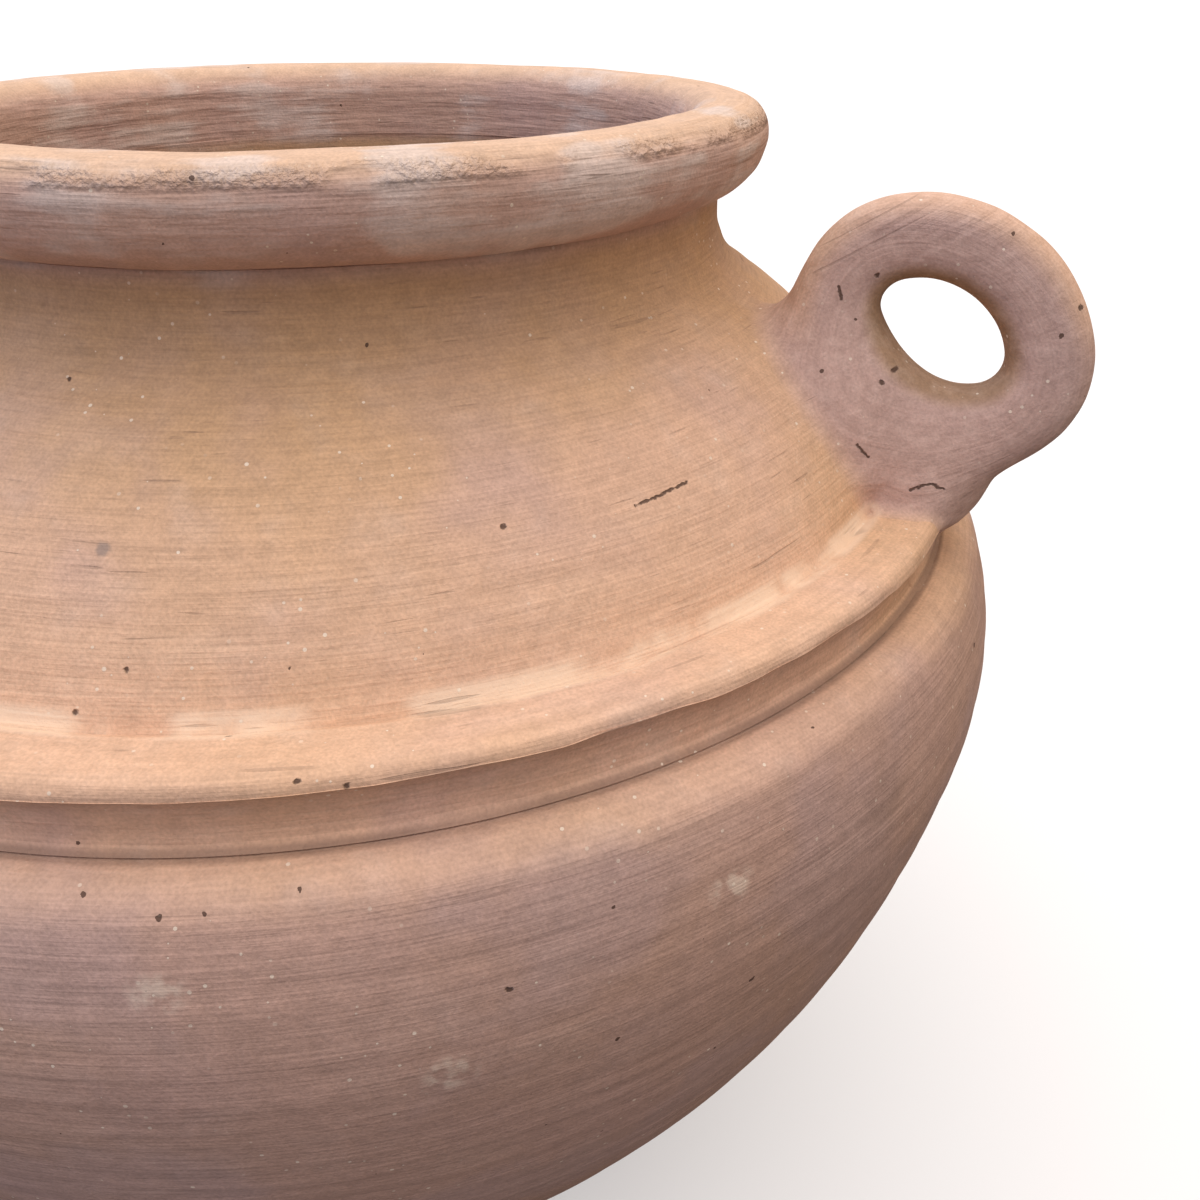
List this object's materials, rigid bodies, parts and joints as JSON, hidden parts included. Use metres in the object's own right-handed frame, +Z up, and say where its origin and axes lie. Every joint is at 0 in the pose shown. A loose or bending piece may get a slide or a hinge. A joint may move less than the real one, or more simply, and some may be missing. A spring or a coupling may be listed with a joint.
{
  "type": "terracotta floor urn",
  "caption": "Round-bellied terracotta floor urn with a rolled rim, a short neck, a cordon above the belly and upright ring handles luted to the shoulder.",
  "frame": {"origin": "centre of the foot, on the floor plane", "axes": "+Z up along the vessel's axis of revolution, +X through the right handle, +Y towards the side away from the picture's viewpoint"},
  "size_m": [0.5452, 0.4999, 0.443],
  "materials": {
    "terracotta_body": "unglazed matte, throwing lines and fine cream grog",
    "terracotta_handles": "unglazed matte, hand smoothed"
  },
  "bodies": {
    "root": {"base_slab": "terracotta_body", "base_fillet_coil": "terracotta_body", "lower_bowl": "terracotta_body", "belly_section": "terracotta_body", "inner_joint_coil": "terracotta_body", "shoulder_section": "terracotta_body", "cordon_band": "terracotta_body", "neck_collar": "terracotta_body", "rim_roll": "terracotta_body", "handle_ring_right": "terracotta_handles", "luting_saddle_right": "terracotta_handles", "cordon_wad_right": "terracotta_handles", "handle_ring_left": "terracotta_handles", "luting_saddle_left": "terracotta_handles", "cordon_wad_left": "terracotta_handles"}
  },
  "joints": []
}
